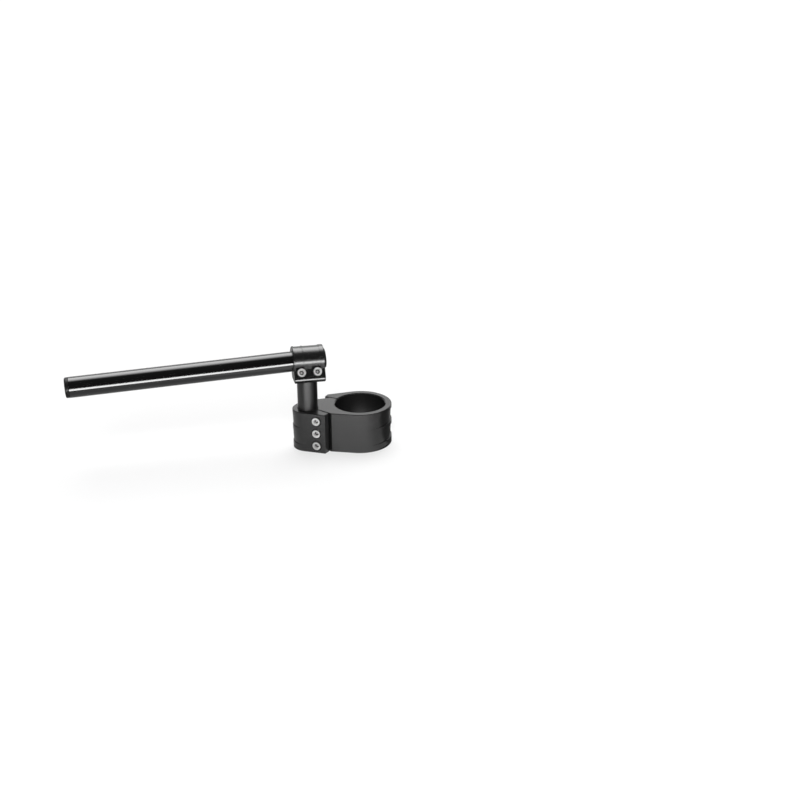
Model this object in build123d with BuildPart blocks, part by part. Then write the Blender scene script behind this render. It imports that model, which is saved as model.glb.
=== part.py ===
from build123d import *
import math
import os

# Raised clip-on handlebar for the left fork leg, in millimetres.
# Origin: on the fork-bore axis at the middle of the clamp's height.
# +Z runs up the fork, -X points outboard past the riser, -Y is the side of the riser's pinch bolts.

# Fork clamp
clamp_height = 46.0
fork_bore_r = 28.0
ring_wall = 7.2
collar_wall = 6.0
web_between_bores = 19.5
riser_turn = 4.75
bore_mouth_chamfer = 1.2
clamp_edge_chamfer = 0.6
slit_width = 2.0

# Front pinch ear of the riser collar, angles measured from the clamp's long axis
front_wall_turn = 27.0
riser_slit_start = -48.4
riser_slit_turn = -55.0
riser_slit_length = 18.0
front_ear_reach = 25.3
riser_bolt_turn = 33.5
riser_bolt_grip = 7.4
riser_bolt_wall = 0.8

# Rear pinch ear of the fork ring
fork_slit_turn = 137.7
fork_ear_reach = 9.2
fork_ear_tip = 4.6
back_wall_y = 25.0
back_wall_length = 21.2
fork_bolt_grip = 7.0
fork_bolt_wall = 5.8

# Shallow reliefs round the clamp's two ends, each deepest at its foot, levels below the top face
relief_levels = ((4.0, 18.5), (23.0, 38.0), (42.5, 45.0))
relief_draft = 2.4
ring_relief_depth = 1.55
ring_relief_half_angle = 86.0
collar_relief_depth = 0.75
collar_relief_half_angle = 55.0

# Cap screws
bolt_r = 3.0
bolt_clear = 0.3
thread_clear = 0.05
bolt_head_r = 5.0
bolt_head_height = 6.0
bolt_head_chamfer = 0.5
bolt_tip_chamfer = 0.8
bolt_socket_across = 5.0
bolt_socket_depth = 3.2
bolt_pocket_r = 5.6
bolt_pocket_open = 16.0
bolt_hole_spare = 0.7
clamp_bolt_pitch = 14.5
clamp_bolt_thread = 12.0

# Riser post and the spigot that carries the bar clamp
post_r = 11.1
post_recess = 0.5
post_chamfer = 1.0
slide_clear = 0.06
spigot_r = 4.0
spigot_roof = 1.5
spigot_chamfer = 0.6
spigot_groove_depth = 0.5
spigot_groove_width = 6.0

# Bar clamp
bar_rise = 55.9
head_lift = 0.7
head_length = 34.0
head_shift = 1.2
head_wall = 4.1
head_foot = 10.2
jaw_tilt = 27.0
jaw_face_inset = 6.0
jaw_length = 22.8
jaw_front = 1.5
jaw_front_tilt = 7.0
jaw_bevel = 2.9
jaw_slit_offset = 2.0
heel = 3.0
boss_wall = 1.4
bar_bolt_wall = 0.6
bar_bolt_spacing = 17.4
bar_bolt_shift = 0.7
bar_bolt_grip = 3.5
bar_bolt_length = 12.0
head_edge_chamfer = 0.7
head_relief_depth = 0.5
head_relief_spans = ((2.2, 10.6), (11.6, 29.0))

# Lock screw that holds the bar clamp on the spigot
lock_screw_r = 2.5
lock_screw_length = 6.0
lock_screw_across = 2.5
lock_screw_gap = 0.1
lock_screw_socket = 2.6
lock_screw_foot = 4.2

# Handlebar tube and its end caps
bar_r = 11.1
bar_wall = 3.0
bar_free_length = 235.2
bar_inset = 1.6
bar_sweep = 5.0
bar_drop = 2.25
bar_end_chamfer = 0.5
bar_mark_offset = 1.6
bar_mark_width = 1.0
bar_mark_depth = 0.2
cap_step = 0.2
cap_flange = 2.4
cap_edge_r = 1.6
cap_plug_length = 16.0
cap_plug_clear = 0.05
cap_plug_taper = 0.8

# Worked-out sizes of the clamp
ring_r = fork_bore_r + ring_wall
collar_r = post_r + collar_wall
riser_span = fork_bore_r + web_between_bores + post_r
clamp_top = clamp_height / 2
bolt_hole_r = bolt_r + bolt_clear
thread_hole_r = bolt_r + thread_clear
clamp_bolt_levels = (clamp_bolt_pitch, 0.0, -clamp_bolt_pitch)
post_bore_r = post_r + slide_clear
fork_axis = Vector(0, 0, 0)


def heading(angle):
    """Level unit vector at an angle from +X towards +Y."""
    return Vector(math.cos(math.radians(angle)), math.sin(math.radians(angle)), 0)


def flat(point):
    """Sketch coordinates of a point on the level plane."""
    return (point.X, point.Y)


def relief_tool(axis, side, radius, depth, half_angle, high, low):
    """Cutter of one relief: the space outside an off-centre cone that runs out at the half angle."""
    half_turn = math.radians(half_angle)
    fall = 2 * radius * (1 - math.cos(half_turn)) - 2 * depth
    shift = (2 * radius * depth - depth**2) / fall
    foot_r = radius - depth + shift
    height = low - high
    top_r = foot_r + height * math.tan(math.radians(relief_draft))
    middle_x = axis.X + side * (radius * math.cos(half_turn) + radius / 2)
    with BuildPart() as tool:
        with BuildSketch(Plane.XY.offset(clamp_top - low)):
            with Locations((middle_x, axis.Y)):
                Rectangle(radius, 2 * radius)
        extrude(amount=height)
        with Locations((axis.X - side * shift, axis.Y, clamp_top - low)):
            Cone(foot_r, top_r, height, align=(Align.CENTER, Align.CENTER, Align.MIN), mode=Mode.SUBTRACT)
    return tool.part


def cap_screw(name, seat, shank_length):
    """Socket head cap screw whose head rests on the seat plane and whose shank runs against its normal."""
    section = Plane(origin=seat.origin, x_dir=seat.x_dir, z_dir=-seat.y_dir)
    with BuildPart() as screw:
        with BuildSketch(section):
            with BuildLine():
                Polyline(
                    (0, -shank_length),
                    (bolt_r - bolt_tip_chamfer, -shank_length),
                    (bolt_r, -shank_length + bolt_tip_chamfer),
                    (bolt_r, 0),
                    (bolt_head_r, 0),
                    (bolt_head_r, bolt_head_height - bolt_head_chamfer),
                    (bolt_head_r - bolt_head_chamfer, bolt_head_height),
                    (0, bolt_head_height),
                    close=True,
                )
            make_face()
        revolve(axis=Axis(seat.origin, seat.z_dir))
        with BuildSketch(seat.offset(bolt_head_height)):
            RegularPolygon(bolt_socket_across / 2, 6, major_radius=False)
        extrude(amount=-bolt_socket_depth, mode=Mode.SUBTRACT)
    screw.part.label = name
    export_step(screw.part, f"parts/{name}.step")


os.makedirs("parts", exist_ok=True)

# Plan of the clamp: tangent walls, ears and slits
riser_axis = riser_span * heading(180 - riser_turn)
front_tangent = ring_r * heading(270 - front_wall_turn)
front_wall_dir = heading(180 - front_wall_turn)
front_wall_end_x = riser_axis.X + collar_r / 2
front_wall_run = (front_wall_end_x - front_tangent.X) / front_wall_dir.X
front_wall_end = front_tangent + front_wall_run * front_wall_dir

back_corner = Vector(riser_axis.X + collar_r + web_between_bores - back_wall_length, back_wall_y)
corner_arm = back_corner - riser_axis
corner_angle = math.degrees(math.atan2(corner_arm.Y, corner_arm.X))
back_tangent_angle = corner_angle + math.degrees(math.acos(collar_r / corner_arm.length))
back_tangent = riser_axis + collar_r * heading(back_tangent_angle)

riser_slit_dir = heading(riser_slit_turn)
riser_slit_mouth = riser_axis + post_r * heading(riser_slit_start)
riser_slit_end = riser_slit_mouth + riser_slit_length * riser_slit_dir
front_ear_tangent = riser_axis + collar_r * heading(270 - riser_bolt_turn)
front_ear_corner = front_ear_tangent + front_ear_reach * heading(-riser_bolt_turn)

fork_slit_dir = heading(fork_slit_turn)
fork_ear_end = (ring_r + fork_ear_reach) * fork_slit_dir
fork_ear_corner = Vector(fork_ear_end.X + fork_ear_tip, ring_r)

# Pinch bolt axes: each crosses its slit, with its head outside the ear
riser_bolt_in = heading(90 - riser_bolt_turn)
riser_bolt_offset = post_r + riser_bolt_wall + bolt_hole_r
riser_bolt_foot = riser_axis + riser_bolt_offset * heading(-riser_bolt_turn)
slit_gap = riser_slit_mouth - riser_bolt_foot
riser_bolt_run = slit_gap.cross(riser_slit_dir).Z / riser_bolt_in.cross(riser_slit_dir).Z
riser_bolt_cross = riser_bolt_foot + riser_bolt_run * riser_bolt_in
riser_bolt_seat = riser_bolt_cross - riser_bolt_grip * riser_bolt_in

fork_bolt_out = heading(fork_slit_turn - 90)
fork_bolt_cross = (fork_bore_r + fork_bolt_wall + bolt_hole_r) * fork_slit_dir
fork_bolt_seat = fork_bolt_cross + fork_bolt_grip * fork_bolt_out


def bolt_seats(point, outward):
    """The three seat planes of a row of pinch bolts up the clamp."""
    return [Plane(origin=(point.X, point.Y, z), z_dir=outward) for z in clamp_bolt_levels]


riser_bolt_seats = bolt_seats(riser_bolt_seat, -riser_bolt_in)
fork_bolt_seats = bolt_seats(fork_bolt_seat, fork_bolt_out)

# Cutters of the reliefs round the ring and the collar
reliefs = []
for high, low in relief_levels:
    reliefs.append(relief_tool(fork_axis, 1, ring_r, ring_relief_depth, ring_relief_half_angle, high, low))
    reliefs.append(
        relief_tool(riser_axis, -1, collar_r, collar_relief_depth, collar_relief_half_angle, high, low)
    )

# Fork clamp: ring and riser collar machined from one block, with a pinch ear for each bore
with BuildPart() as fork_clamp:
    with BuildSketch(Plane.XY.offset(-clamp_top)):
        Circle(ring_r)
        with Locations(flat(riser_axis)):
            Circle(collar_r)
        with BuildLine():
            Polyline(
                flat(fork_axis),
                flat(front_tangent),
                flat(front_wall_end),
                flat(riser_axis),
                flat(back_tangent),
                flat(back_corner),
                (fork_bolt_cross.X, back_wall_y),
                close=True,
            )
        make_face()
        with BuildLine():
            Polyline(
                flat(riser_axis),
                flat(front_ear_tangent),
                flat(front_ear_corner),
                flat(riser_slit_end),
                flat(riser_slit_mouth),
                close=True,
            )
        make_face()
        with BuildLine():
            Polyline(
                flat(fork_axis),
                (0, ring_r),
                flat(fork_ear_corner),
                flat(fork_ear_end),
                close=True,
            )
        make_face()
    extrude(amount=clamp_height)
    chamfer(fork_clamp.faces().filter_by(Axis.Z).edges(), clamp_edge_chamfer)

    # Bores for the fork leg and the riser post, with lead-in chamfers
    with BuildSketch(Plane.XY.offset(-clamp_top)):
        Circle(fork_bore_r)
        with Locations(flat(riser_axis)):
            Circle(post_bore_r)
    extrude(amount=clamp_height, mode=Mode.SUBTRACT)
    bore_mouths = fork_clamp.faces().filter_by(Axis.Z).edges().filter_by(GeomType.CIRCLE)
    fork_mouths = [e for e in bore_mouths if abs(e.radius - fork_bore_r) < slide_clear]
    post_mouths = [e for e in bore_mouths if abs(e.radius - post_bore_r) < slide_clear / 2]
    chamfer(fork_mouths, bore_mouth_chamfer)
    chamfer(post_mouths, clamp_edge_chamfer)

    # Reliefs that fade out round the two ends
    for relief in reliefs:
        add(relief, mode=Mode.SUBTRACT)

    # Bolt pockets and clearance holes through the ears, threads beyond the slits
    for seats, grip in ((riser_bolt_seats, riser_bolt_grip), (fork_bolt_seats, fork_bolt_grip)):
        with Locations(*[seat.offset(bolt_pocket_open) for seat in seats]):
            CounterBoreHole(bolt_hole_r, bolt_pocket_r, bolt_pocket_open, bolt_pocket_open + grip)
            Hole(thread_hole_r, bolt_pocket_open + grip + clamp_bolt_thread + bolt_hole_spare)

    # Pinch slits
    with BuildSketch(Plane(origin=riser_slit_mouth - Vector(0, 0, clamp_top), x_dir=riser_slit_dir)):
        with Locations((-2 * slit_width, 0)):
            Rectangle(2 * riser_slit_length, slit_width, align=(Align.MIN, Align.CENTER))
    extrude(amount=clamp_height, mode=Mode.SUBTRACT)
    with BuildSketch(Plane(origin=(0, 0, -clamp_top), x_dir=fork_slit_dir)):
        with Locations((fork_bore_r - slit_width, 0)):
            Rectangle(ring_r, slit_width, align=(Align.MIN, Align.CENTER))
    extrude(amount=clamp_height, mode=Mode.SUBTRACT)
fork_clamp.part.label = "fork_clamp"
export_step(fork_clamp.part, "parts/fork_clamp.step")

for number, seat in enumerate(riser_bolt_seats, 1):
    cap_screw(f"riser_pinch_bolt_{number}", seat, riser_bolt_grip + clamp_bolt_thread)
for number, seat in enumerate(fork_bolt_seats, 1):
    cap_screw(f"fork_pinch_bolt_{number}", seat, fork_bolt_grip + clamp_bolt_thread)

# Bar clamp frame: x runs to the front, y up, and the block's length runs outboard square to the post
head_r = bar_r + head_wall
head_outboard = head_length / 2 - head_shift
head_inboard = head_length / 2 + head_shift
head_bottom = bar_r + head_foot
bar_height = clamp_top + bar_rise
bar_centre = Vector(riser_axis.X, riser_axis.Y, bar_height)
head_centre = bar_centre + Vector(0, 0, head_lift)
outboard = heading(180 - bar_sweep)
toward_front = heading(270 - bar_sweep)
head_plane = Plane(origin=head_centre, x_dir=toward_front, z_dir=outboard)
bar_tilt = math.radians(bar_drop)
bar_dir = outboard * math.cos(bar_tilt) - Vector(0, 0, 1) * math.sin(bar_tilt)
bar_plane = Plane(origin=bar_centre, x_dir=toward_front, z_dir=bar_dir)
jaw_face = head_r - jaw_face_inset
jaw_normal = Vector(math.cos(math.radians(jaw_tilt)), math.sin(math.radians(jaw_tilt)))
jaw_dir = Vector(jaw_normal.Y, -jaw_normal.X)
post_seat_z = head_centre.Z - head_bottom
spigot_top_z = bar_height - bar_r - spigot_roof
lock_screw_z = post_seat_z + lock_screw_foot


def jaw_point(out, along):
    """Sketch point on the bar clamp's section, out from the bar and along the jaw."""
    point = out * jaw_normal + along * jaw_dir
    return (point.X, point.Y)


jaw_start = math.sqrt(head_r**2 - jaw_face**2)
jaw_tip = jaw_point(jaw_face, jaw_length)
jaw_lean = math.radians(jaw_front_tilt)
jaw_lip = (jaw_tip[0] + jaw_front * math.sin(jaw_lean), jaw_tip[1] - jaw_front * math.cos(jaw_lean))
heel_arm = math.hypot(heel, head_bottom)
heel_angle = math.atan2(-head_bottom, -heel) - math.acos(head_r / heel_arm)
heel_tangent = (head_r * math.cos(heel_angle), head_r * math.sin(heel_angle))
bar_bolt_along = head_lift * jaw_normal.X + bar_r + bar_bolt_wall + bolt_hole_r
bar_bolt_out = jaw_slit_offset + slit_width / 2 + bar_bolt_grip
jaw_normal_world = toward_front * jaw_normal.X + Vector(0, 0, 1) * jaw_normal.Y
jaw_dir_world = toward_front * jaw_dir.X + Vector(0, 0, 1) * jaw_dir.Y
bar_bolt_middle = head_plane.offset(-bar_bolt_shift).origin
bar_bolt_middle += bar_bolt_out * jaw_normal_world + bar_bolt_along * jaw_dir_world
bar_bolt_seats = [
    Plane(origin=bar_bolt_middle + side * bar_bolt_spacing / 2 * outboard, z_dir=jaw_normal_world)
    for side in (1, -1)
]

# Bar clamp: a split block with a forward jaw, seated on the riser post
with BuildPart() as bar_clamp:
    with BuildSketch(head_plane.offset(-head_inboard)):
        Circle(head_r)
        with BuildLine():
            Polyline(
                (0, 0),
                jaw_point(jaw_face, jaw_start),
                jaw_tip,
                jaw_lip,
                (jaw_lip[0] - jaw_bevel, -head_bottom),
                (-heel, -head_bottom),
                heel_tangent,
                close=True,
            )
        make_face()
    extrude(amount=head_length)
    chamfer(bar_clamp.faces().filter_by(Plane(origin=(0, 0, 0), z_dir=outboard)).edges(), head_edge_chamfer)
    with BuildSketch(Plane.XY.offset(post_seat_z)):
        with Locations(flat(riser_axis)):
            Circle(post_r + boss_wall)
    extrude(amount=head_foot)

    # Turned reliefs over the round back, from the jaw's flat to the heel
    for start, end in head_relief_spans:
        with BuildSketch(head_plane.offset(head_outboard - end)):
            Circle(head_r + head_relief_depth)
            Circle(head_r - head_relief_depth, mode=Mode.SUBTRACT)
            with BuildLine():
                Polyline(
                    (0, 0),
                    jaw_point(jaw_face, 0),
                    jaw_point(jaw_face, 2 * head_bottom),
                    (0, -2 * head_bottom),
                    (2 * heel_tangent[0], 2 * heel_tangent[1]),
                    close=True,
                )
            make_face(mode=Mode.SUBTRACT)
        extrude(amount=end - start, mode=Mode.SUBTRACT)

    # Bar bore, spigot bore and lock screw hole
    with BuildSketch(bar_plane.offset(-head_length)):
        Circle(bar_r + slide_clear)
    extrude(amount=2 * head_length, mode=Mode.SUBTRACT)
    with BuildSketch(Plane.XY.offset(post_seat_z)):
        with Locations(flat(riser_axis)):
            Circle(spigot_r + slide_clear)
    extrude(amount=spigot_top_z - post_seat_z, mode=Mode.SUBTRACT)
    lock_plane = Plane(origin=(riser_axis.X, riser_axis.Y, lock_screw_z), z_dir=-toward_front)
    with BuildSketch(lock_plane):
        Circle(lock_screw_r + thread_clear)
    extrude(amount=head_r, mode=Mode.SUBTRACT)

    # Jaw bolts and the slit in front of the post
    bar_bolt_reach = bolt_pocket_open + bar_bolt_length + bolt_hole_spare
    with Locations(*[seat.offset(bolt_pocket_open) for seat in bar_bolt_seats]):
        CounterBoreHole(bolt_hole_r, bolt_pocket_r, bolt_pocket_open, bolt_pocket_open + bar_bolt_grip)
        Hole(thread_hole_r, bar_bolt_reach)
    slit_plane = Plane(origin=head_centre, x_dir=jaw_dir_world, z_dir=outboard)
    with BuildSketch(slit_plane.offset(-head_length)):
        with Locations((bar_r / 2, jaw_slit_offset)):
            Rectangle(2 * jaw_length, slit_width, align=(Align.MIN, Align.CENTER))
    extrude(amount=2 * head_length, mode=Mode.SUBTRACT)
bar_clamp.part.label = "bar_clamp"
export_step(bar_clamp.part, "parts/bar_clamp.step")

for number, seat in enumerate(bar_bolt_seats, 1):
    cap_screw(f"bar_pinch_bolt_{number}", seat, bar_bolt_length)

# Riser post: turned bar with a grooved spigot on top
groove_r = spigot_r - spigot_groove_depth
groove_foot = lock_screw_z - spigot_groove_width / 2
groove_top = lock_screw_z + spigot_groove_width / 2
with BuildPart() as riser_post:
    with BuildSketch(Plane(origin=riser_axis, x_dir=(1, 0, 0), z_dir=(0, -1, 0))):
        with BuildLine():
            Polyline(
                (0, -clamp_top + post_recess),
                (post_r - post_chamfer, -clamp_top + post_recess),
                (post_r, -clamp_top + post_recess + post_chamfer),
                (post_r, post_seat_z - slide_clear),
                (spigot_r, post_seat_z - slide_clear),
                (spigot_r, groove_foot),
                (groove_r, groove_foot + spigot_groove_depth),
                (groove_r, groove_top - spigot_groove_depth),
                (spigot_r, groove_top),
                (spigot_r, spigot_top_z - slide_clear - spigot_chamfer),
                (spigot_r - spigot_chamfer, spigot_top_z - slide_clear),
                (0, spigot_top_z - slide_clear),
                close=True,
            )
        make_face()
    revolve(axis=Axis(riser_axis, (0, 0, 1)))
riser_post.part.label = "riser_post"
export_step(riser_post.part, "parts/riser_post.step")

# Lock screw: set screw in the back of the bar clamp, its point just off the spigot's groove
with BuildPart() as riser_lock_screw:
    lock_tip = groove_r + lock_screw_gap
    with BuildSketch(lock_plane.offset(lock_tip)):
        Circle(lock_screw_r)
    extrude(amount=lock_screw_length)
    chamfer(riser_lock_screw.edges().filter_by(GeomType.CIRCLE), bolt_head_chamfer)
    with BuildSketch(lock_plane.offset(lock_tip + lock_screw_length)):
        RegularPolygon(lock_screw_across / 2, 6, major_radius=False)
    extrude(amount=-lock_screw_socket, mode=Mode.SUBTRACT)
riser_lock_screw.part.label = "riser_lock_screw"
export_step(riser_lock_screw.part, "parts/riser_lock_screw.step")

# Handlebar tube, its inner end just inside the bar clamp and a turned mark showing where it is set
bar_inner_r = bar_r - bar_wall
bar_inner_end = head_inboard - bar_inset
bar_length = bar_inner_end + head_outboard + bar_free_length
with BuildPart() as handlebar_tube:
    with BuildSketch(bar_plane.offset(-bar_inner_end)):
        Circle(bar_r)
        Circle(bar_inner_r, mode=Mode.SUBTRACT)
    extrude(amount=bar_length)
    chamfer(handlebar_tube.edges().filter_by(GeomType.CIRCLE), bar_end_chamfer)
    with BuildSketch(bar_plane.offset(head_outboard + bar_mark_offset)):
        Circle(bar_r + bar_mark_depth)
        Circle(bar_r - bar_mark_depth, mode=Mode.SUBTRACT)
    extrude(amount=bar_mark_width, mode=Mode.SUBTRACT)
handlebar_tube.part.label = "handlebar_tube"
export_step(handlebar_tube.part, "parts/handlebar_tube.step")

# End caps: flanged plugs with a rounded edge, one in each end of the tube
cap_r = bar_r - cap_step
plug_r = bar_inner_r - cap_plug_clear


def end_cap(name, seat):
    """Cap whose flange rests on the seat plane and whose plug runs against its normal."""
    section = Plane(origin=seat.origin, x_dir=seat.x_dir, z_dir=-seat.y_dir)
    with BuildPart() as cap:
        with BuildSketch(section):
            with BuildLine():
                shoulder = Polyline(
                    (0, cap_flange + cap_edge_r),
                    (0, -cap_plug_length),
                    (plug_r - cap_plug_taper, -cap_plug_length),
                    (plug_r, -cap_plug_length + cap_plug_taper),
                    (plug_r, 0),
                    (cap_r, 0),
                    (cap_r, cap_flange),
                )
                edge = TangentArc(shoulder @ 1, (cap_r - cap_edge_r, cap_flange + cap_edge_r), tangent=(0, 1))
                Line(edge @ 1, shoulder @ 0)
            make_face()
        revolve(axis=Axis(seat.origin, seat.z_dir))
    cap.part.label = name
    export_step(cap.part, f"parts/{name}.step")


inner_seat = bar_plane.offset(-bar_inner_end)
end_cap("bar_end_cap", bar_plane.offset(head_outboard + bar_free_length))
end_cap("bar_inner_cap", Plane(origin=inner_seat.origin, x_dir=inner_seat.x_dir, z_dir=-bar_dir))
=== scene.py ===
import math

import bpy
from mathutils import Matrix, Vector


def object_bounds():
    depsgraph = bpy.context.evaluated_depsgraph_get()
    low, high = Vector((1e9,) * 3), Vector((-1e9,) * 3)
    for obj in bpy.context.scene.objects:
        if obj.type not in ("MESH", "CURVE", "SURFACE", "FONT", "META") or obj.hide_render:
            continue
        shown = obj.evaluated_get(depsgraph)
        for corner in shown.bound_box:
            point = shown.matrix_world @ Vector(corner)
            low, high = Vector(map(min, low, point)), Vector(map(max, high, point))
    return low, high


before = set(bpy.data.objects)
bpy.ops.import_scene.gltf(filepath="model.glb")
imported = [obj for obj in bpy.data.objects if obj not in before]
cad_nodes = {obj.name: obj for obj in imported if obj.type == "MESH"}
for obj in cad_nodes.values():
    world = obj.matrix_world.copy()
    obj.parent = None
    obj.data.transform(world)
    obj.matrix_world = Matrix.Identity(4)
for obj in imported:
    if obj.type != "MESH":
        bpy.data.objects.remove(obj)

cad_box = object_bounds()
mm = 0.001


def degrees(first, last):
    """A span of two angles, in radians."""
    return math.radians(first), math.radians(last)


# Camera, fitted to the photograph; the studio's front is the side that it stands on
camera_yaw = math.radians(17.98)
camera_elevation = math.radians(22.43)
camera_distance = 1.3352
camera_target = Vector((0.04243, -0.01377, 0.02611))
camera_lens = 54.0
camera_sensor = 36.0
camera_reach = 100.0
front = Vector((-math.sin(camera_yaw), -math.cos(camera_yaw), 0))
right = Vector((math.cos(camera_yaw), -math.sin(camera_yaw), 0))
up = Vector((0, 0, 1))

# Floor: its paleness to the camera, and to the light that bounces off it
floor_size = 40.0
floor_albedo = 0.30
floor_bounce = 0.06
floor_glow = 0.585

# Floor as the object's gloss sees it: a glow all round with a dark gap on the right, which paints shade into
# the reflections on the object's right side
near_glow = 0.82
near_side = 0.5
near_right = degrees(12, 58)
near_right_end = degrees(64, 78)
near_rear = degrees(112, 150)
near_left = degrees(26, 54)

# Floor as the object's gloss sees it: a bright strip in front, in metres from the fork's axis; it glows only
# in reflections, a painted reflection that draws the lower highlights on the tube and the clamps
strip_glow = 12.5
strip_start = (0.36, 0.42)
strip_end = (1.8, 2.6)
strip_right = degrees(26, 36)
strip_left = degrees(28, 40)

# Light: dim room, softbox overhead, pale wall behind and a soft fill in front
room_level = 0.03
softbox_level = 5.8
softbox_rise = degrees(78, 110)
softbox_fall = degrees(132, 141)
softbox_side = (0.28, 0.42)
wall_level = 0.95
wall_rise = degrees(128, 145)
wall_side = (0.45, 0.85)
wall_end_share = 0.1
fill_rise = math.radians(37)
fill_width = math.radians(30)
fill_level = 2.8

# Directions of the cap screws' heads, from the fork clamp's plan and the bar clamp's jaw
riser_bolt_turn = math.radians(33.5)
fork_slit_turn = math.radians(137.7)
bar_sweep = math.radians(5.0)
jaw_tilt = math.radians(27.0)
bar_front = Vector((-math.sin(bar_sweep), -math.cos(bar_sweep), 0))
bolt_rows = (
    ("riser_pinch_bolt", 3, Vector((-math.sin(riser_bolt_turn), -math.cos(riser_bolt_turn), 0))),
    ("fork_pinch_bolt", 3, Vector((math.sin(fork_slit_turn), -math.cos(fork_slit_turn), 0))),
    ("bar_pinch_bolt", 2, bar_front * math.cos(jaw_tilt) + up * math.sin(jaw_tilt)),
)

# Finishes: colours are linear, a mottle is two shares of a colour, and a roughness runs between two ends

# Clamps: blasted and anodised, with paler edges that are partly wear and partly a painted highlight
clamp_ior = 1.75
clamp_colour = (0.008, 0.008, 0.008, 1)
clamp_worn_and_highlit = (0.035, 0.035, 0.035, 1)
clamp_mottle = (0.85, 1.15)
clamp_roughness = (0.235, 0.285)
clamp_cloud = 12 * mm
clamp_grain = 0.22 * mm
clamp_grain_depth = 0.0012 * mm
edge_radius = 0.3 * mm
edge_rays = 6
edge_bend = (0.99, 0.8)
# Paler edges in patches, partly wear and partly a painted highlight
pale_edge_patch = 3 * mm
pale_edge_span = (0.35, 0.65)
pale_edge_share = (0.4, 0.9)

# Riser post: turned and anodised
post_ior = 1.68
post_colour = (0.009, 0.009, 0.009, 1)
post_mottle = (0.8, 1.2)
post_roughness = (0.31, 0.41)
post_anisotropy = 0.6
post_anisotropy_turn = 0.25
post_streak = 0.5 * mm
post_stretch = (0.05, 0.05, 1.0)
lathe_pitch = 0.3 * mm
lathe_depth = 0.003 * mm

# Handlebar tube: deep gloss
tube_ior = 1.7
tube_colour = (0.004, 0.004, 0.004, 1)
tube_mottle = (0.7, 1.4)
tube_roughness = (0.10, 0.15)
tube_haze = 2.5 * mm
tube_stretch = (0.12, 1.0, 1.0)
tube_ripple = 9 * mm
tube_ripple_depth = 0.0015 * mm

# End caps: moulded plastic
cap_ior = 1.35
cap_colour = (0.005, 0.005, 0.005, 1)
cap_mottle = (0.85, 1.15)
cap_roughness = (0.36, 0.48)
cap_cloud = 5 * mm
cap_grain = 0.3 * mm
cap_grain_depth = 0.01 * mm

# Screws: plated steel for the cap screws, black oxide for the lock screw
screw_metallic = 0.55
steel_colour = (0.82, 0.815, 0.81, 1)
steel_roughness = (0.34, 0.48)
oxide_colour = (0.02, 0.02, 0.021, 1)
oxide_roughness = (0.35, 0.49)
screw_mottle = (0.85, 1.08)
screw_smear = 1.5 * mm
screw_face_r = 4.5 * mm
screw_socket_r = 2.5 * mm
# Painted shade on the screws: the socket darkens to a small share of the colour, less so at its core, and so
# does the head's rim
screw_core = (0.6 * mm, 1.7 * mm)
screw_core_shade = 0.35
screw_shade_share = 0.06
knurl_count = 56
knurl_depth = 0.12 * mm


class Graph:
    """Short calls for adding and joining nodes in one node tree."""

    def __init__(self, tree):
        self.tree = tree

    def add(self, kind, links=None, **settings):
        node = self.tree.nodes.new(kind)
        for name, value in settings.items():
            setattr(node, name, value)
        for socket, value in (links or {}).items():
            self.join(value, node.inputs[socket])
        return node

    def join(self, value, socket):
        """Links an output to a socket, or sets a plain value on it."""
        if isinstance(value, bpy.types.NodeSocket):
            self.tree.links.new(value, socket)
        else:
            socket.default_value = value

    def maths(self, operation, first, second=0.0):
        return self.add("ShaderNodeMath", {0: first, 1: second}, operation=operation).outputs[0]

    def product(self, first, *others):
        for other in others:
            first = self.maths("MULTIPLY", first, other)
        return first

    def length(self, x, y):
        """Length of a vector of two parts."""
        return self.maths("SQRT", self.maths("ADD", self.product(x, x), self.product(y, y)))

    def dot(self, vector, direction):
        node = self.add("ShaderNodeVectorMath", {0: vector, 1: direction}, operation="DOT_PRODUCT")
        return node.outputs["Value"]

    def ramp(self, value, span, ends):
        """Smooth step that takes the span to the two end values."""
        links = {
            "Value": value,
            "From Min": span[0],
            "From Max": span[1],
            "To Min": ends[0],
            "To Max": ends[1],
        }
        return self.add("ShaderNodeMapRange", links, interpolation_type="SMOOTHSTEP").outputs["Result"]

    def wave(self, value, pitch):
        """Sine of the given pitch, between 0 and 1."""
        sine = self.maths("SINE", self.product(value, 2 * math.pi / pitch))
        return self.maths("ADD", self.product(sine, 0.5), 0.5)


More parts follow.
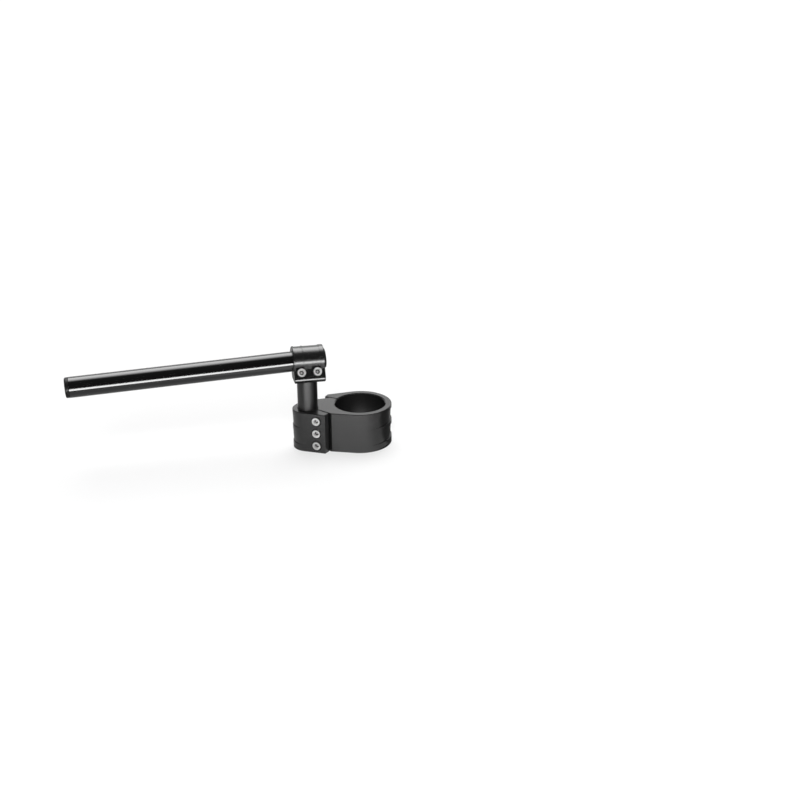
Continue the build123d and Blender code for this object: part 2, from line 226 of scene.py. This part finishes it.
class Finish(Graph):
    """A material with a Principled shader whose plain values are set from keywords."""

    def __init__(self, name, **sockets):
        self.material = bpy.data.materials.new(name)
        self.material.use_nodes = True
        super().__init__(self.material.node_tree)
        self.surface = self.tree.nodes["Principled BSDF"]
        for socket, value in sockets.items():
            self.surface.inputs[socket.replace("_", " ")].default_value = value
        self.place = self.add("ShaderNodeTexCoord").outputs["Object"]

    def paint(self, socket, value):
        self.join(value, self.surface.inputs[socket])

    def roughen(self, pattern, ends):
        """Roughness that runs between two ends with a pattern."""
        self.paint("Roughness", self.maths("ADD", self.product(pattern, ends[1] - ends[0]), ends[0]))

    def noise(self, size, detail=2.0, stretch=None):
        """Noise between 0 and 1 with features of about the given size, in metres."""
        place = self.place
        if stretch is not None:
            place = self.add("ShaderNodeVectorMath", {0: place, 1: stretch}, operation="MULTIPLY").outputs[0]
        links = {"Vector": place, "Scale": 1 / size, "Detail": detail}
        return self.add("ShaderNodeTexNoise", links).outputs["Fac"]

    def blend(self, share, first, second):
        """Mix of two colours."""
        node = self.add("ShaderNodeMix", {"Factor": share}, data_type="RGBA")
        colours = [s for s in node.inputs if s.type == "RGBA"]
        self.join(first, colours[0])
        self.join(second, colours[1])
        return [s for s in node.outputs if s.type == "RGBA"][0]

    def mottle(self, pattern, colour, ends):
        """A colour whose level runs between two shares with a pattern."""
        return self.blend(pattern, shade(colour, ends[0]), shade(colour, ends[1]))

    def bump(self, height, depth, normal=None):
        """Bump of the given depth, in metres."""
        node = self.add("ShaderNodeBump", {"Height": height, "Distance": depth})
        if normal is not None:
            self.join(normal, node.inputs["Normal"])
        return node.outputs["Normal"]

    def edges(self, radius):
        """Normal that rounds the sharp edges, and a mask that is 1 along them."""
        rounded = self.add("ShaderNodeBevel", {"Radius": radius}, samples=edge_rays).outputs["Normal"]
        flat = self.add("ShaderNodeNewGeometry").outputs["True Normal"]
        return rounded, self.ramp(self.dot(rounded, flat), edge_bend, (0.0, 1.0))

    def assign(self, *names):
        """Gives the named CAD nodes this material."""
        for name in names:
            materials = cad_nodes[name].data.materials
            materials.clear()
            materials.append(self.material)


def shade(colour, level):
    """A colour at a share of its level."""
    return tuple(level * c for c in colour[:3]) + (1,)


def anodised(name):
    """Blasted and black anodised aluminium, a little paler along its edges, partly wear and partly a painted
    highlight.
    """
    finish = Finish(name, IOR=clamp_ior)
    rounded, edge = finish.edges(edge_radius)
    cloud = finish.noise(clamp_cloud, detail=3.0)
    grain = finish.noise(clamp_grain)
    patch = finish.noise(pale_edge_patch, detail=4.0)
    # Paler edges in patches: partly wear, partly a painted highlight along the edges
    wear_and_highlight = finish.product(edge, finish.ramp(patch, pale_edge_span, pale_edge_share))
    body = finish.mottle(cloud, clamp_colour, clamp_mottle)
    finish.paint("Base Color", finish.blend(wear_and_highlight, body, clamp_worn_and_highlit))
    finish.roughen(cloud, clamp_roughness)
    finish.paint("Normal", finish.bump(grain, clamp_grain_depth, rounded))
    return finish


def turned(name):
    """Black anodised bar with fine lathe lines round it."""
    finish = Finish(
        name, IOR=post_ior, Anisotropic=post_anisotropy, Anisotropic_Rotation=post_anisotropy_turn
    )
    lines = finish.wave(finish.dot(finish.place, up), lathe_pitch)
    streak = finish.noise(post_streak, detail=3.0, stretch=post_stretch)
    finish.paint("Base Color", finish.mottle(streak, post_colour, post_mottle))
    finish.roughen(streak, post_roughness)
    finish.paint("Normal", finish.bump(finish.maths("ADD", lines, streak), lathe_depth))
    tangent = finish.add("ShaderNodeTangent", direction_type="RADIAL", axis="Z").outputs[0]
    finish.paint("Tangent", tangent)
    return finish


def gloss_tube(name):
    """Drawn tube with a deep gloss black finish."""
    finish = Finish(name, IOR=tube_ior)
    ripple = finish.noise(tube_ripple)
    haze = finish.noise(tube_haze, detail=3.0, stretch=tube_stretch)
    finish.paint("Base Color", finish.mottle(haze, tube_colour, tube_mottle))
    finish.roughen(haze, tube_roughness)
    finish.paint("Normal", finish.bump(ripple, tube_ripple_depth))
    return finish


def moulded(name):
    """Black moulded plastic with a fine eroded texture."""
    finish = Finish(name, IOR=cap_ior)
    grain = finish.noise(cap_grain)
    cloud = finish.noise(cap_cloud)
    finish.paint("Base Color", finish.mottle(cloud, cap_colour, cap_mottle))
    finish.roughen(grain, cap_roughness)
    finish.paint("Normal", finish.bump(grain, cap_grain_depth))
    return finish


def axis_frame(name, outward):
    """A point on a screw's axis and two directions square to it."""
    across = outward.orthogonal().normalized()
    along = outward.cross(across)
    corners = [v.co for v in cad_nodes[name].data.vertices]
    centre = Vector()
    for direction in (across, along):
        spread = [c.dot(direction) for c in corners]
        centre += direction * (min(spread) + max(spread)) / 2
    return centre, across, along


def screw_steel(name, outward, colour, roughness):
    """Turned screw: lathe rings on its flat faces, a knurl round its head, and painted shade in its socket
    and on its rim.
    """
    finish = Finish(name, Metallic=screw_metallic)
    centre, across, along = axis_frame(name, outward)
    arm = finish.add("ShaderNodeVectorMath", {0: finish.place, 1: centre}, operation="SUBTRACT").outputs[0]
    x = finish.dot(arm, across)
    y = finish.dot(arm, along)
    reach = finish.length(x, y)
    turn = finish.maths("ARCTAN2", y, x)
    rim = finish.maths("GREATER_THAN", reach, screw_face_r)
    inside = finish.maths("LESS_THAN", reach, screw_socket_r)
    # Painted shade in the socket, lighter at its core, and on the head's rim
    socket = finish.product(inside, finish.ramp(reach, screw_core, (screw_core_shade, 1.0)))
    knurl = finish.product(finish.wave(turn, 2 * math.pi / knurl_count), rim)
    rings = finish.bump(finish.wave(reach, lathe_pitch), lathe_depth)
    smear = finish.noise(screw_smear, detail=4.0)
    bright = finish.mottle(smear, colour, screw_mottle)
    painted_shade = finish.maths("MAXIMUM", socket, rim)
    finish.paint("Base Color", finish.blend(painted_shade, bright, shade(colour, screw_shade_share)))
    finish.roughen(smear, roughness)
    finish.paint("Normal", finish.bump(knurl, knurl_depth, rings))
    return finish


def build_floor():
    """Pale floor that shows white but keeps the object's shadow; gloss sees a painted glow on it, brightest
    in a strip in front and dark on the right.
    """
    bpy.ops.mesh.primitive_plane_add(size=floor_size, location=(0, 0, cad_box[0][2]))
    floor = bpy.context.object
    floor.name = "floor"
    material = bpy.data.materials.new("floor_white")
    material.use_nodes = True
    material.cycles.emission_sampling = "NONE"
    graph = Graph(material.node_tree)
    graph.tree.nodes.remove(graph.tree.nodes["Principled BSDF"])
    place = graph.add("ShaderNodeTexCoord").outputs["Object"]
    ahead = graph.dot(place, front)
    aside = graph.dot(place, right)
    reach = graph.length(ahead, aside)
    turn = graph.maths("ARCTAN2", aside, ahead)
    left_turn = graph.product(turn, -1.0)
    gap_start = graph.ramp(turn, near_right_end, (1.0, 0.0))
    gap_end = graph.ramp(turn, near_rear, (0.0, 1.0))
    near = graph.product(
        graph.ramp(turn, near_right, (1.0, near_side)),
        graph.maths("MAXIMUM", gap_start, gap_end),
        graph.ramp(left_turn, near_left, (near_glow, near_glow * near_side)),
    )
    strip = graph.product(
        graph.ramp(reach, strip_start, (0.0, 1.0)),
        graph.ramp(reach, strip_end, (1.0, 0.0)),
        graph.ramp(turn, strip_right, (strip_glow, 0.0)),
        graph.ramp(left_turn, strip_left, (1.0, 0.0)),
    )
    # Painted reflection: the near glow and the bright strip are added for glossy and transmission rays only
    rays = graph.add("ShaderNodeLightPath").outputs
    gloss = graph.maths("MAXIMUM", rays["Is Glossy Ray"], rays["Is Transmission Ray"])
    shown = graph.product(rays["Is Camera Ray"], floor_glow)
    level = graph.maths("ADD", shown, graph.product(gloss, graph.maths("ADD", near, strip)))
    glow = graph.add("ShaderNodeEmission", {"Strength": level})
    albedo = graph.ramp(rays["Is Camera Ray"], (0.0, 1.0), (floor_bounce, floor_albedo))
    matt = graph.add("ShaderNodeBsdfDiffuse", {"Color": albedo})
    both = graph.add("ShaderNodeAddShader", {0: glow.outputs[0], 1: matt.outputs[0]})
    graph.join(both.outputs[0], graph.tree.nodes["Material Output"].inputs["Surface"])
    floor.data.materials.append(material)


def build_world():
    """Dim room with one softbox overhead and a pale wall behind the object."""
    world = bpy.data.worlds.new("studio")
    bpy.context.scene.world = world
    world.use_nodes = True
    graph = Graph(world.node_tree)
    background = graph.tree.nodes["Background"]
    way = graph.add("ShaderNodeTexCoord").outputs["Generated"]
    climb = graph.maths("ARCTAN2", graph.dot(way, up), graph.dot(way, front))
    side = graph.maths("ABSOLUTE", graph.dot(way, right))
    box = graph.product(
        graph.ramp(climb, softbox_rise, (0.0, 1.0)),
        graph.ramp(climb, softbox_fall, (1.0, 0.0)),
        graph.ramp(side, softbox_side, (softbox_level, 0.0)),
    )
    wall = graph.product(
        graph.ramp(climb, wall_rise, (0.0, wall_level)),
        graph.ramp(side, wall_side, (1.0, wall_end_share)),
    )
    level = graph.maths("ADD", graph.maths("ADD", box, wall), room_level)
    camera_ray = graph.add("ShaderNodeLightPath").outputs["Is Camera Ray"]
    graph.join(graph.maths("MAXIMUM", level, camera_ray), background.inputs["Strength"])
    background.inputs["Color"].default_value = (1, 1, 1, 1)


def build_fill():
    """Soft light above the camera that shows the colours but draws no highlight."""
    light = bpy.data.lights.new("fill", "SUN")
    light.angle = fill_width
    light.energy = fill_level
    lamp = bpy.data.objects.new("fill", light)
    away = math.cos(fill_rise) * front + math.sin(fill_rise) * up
    lamp.rotation_euler = away.to_track_quat("Z", "Y").to_euler()
    lamp.visible_camera = False
    lamp.visible_glossy = False
    bpy.context.scene.collection.objects.link(lamp)


def build_camera():
    """Camera at the photograph's place."""
    data = bpy.data.cameras.new("camera")
    data.lens = camera_lens
    data.sensor_width = camera_sensor
    data.clip_end = camera_reach
    camera = bpy.data.objects.new("camera", data)
    back = front * math.cos(camera_elevation) + up * math.sin(camera_elevation)
    camera.location = camera_target + camera_distance * back
    camera.rotation_euler = back.to_track_quat("Z", "Y").to_euler()
    bpy.context.scene.collection.objects.link(camera)
    bpy.context.scene.camera = camera


anodised("clamp_black").assign("fork_clamp", "bar_clamp")
turned("post_black").assign("riser_post")
gloss_tube("bar_black").assign("handlebar_tube")
moulded("cap_black").assign("bar_end_cap", "bar_inner_cap")
screw_steel("riser_lock_screw", bar_front, oxide_colour, oxide_roughness).assign("riser_lock_screw")
for row, count, outward in bolt_rows:
    for number in range(1, count + 1):
        bolt = f"{row}_{number}"
        screw_steel(bolt, outward, steel_colour, steel_roughness).assign(bolt)

build_floor()
build_world()
build_fill()
build_camera()
bpy.context.scene.view_settings.view_transform = "Standard"
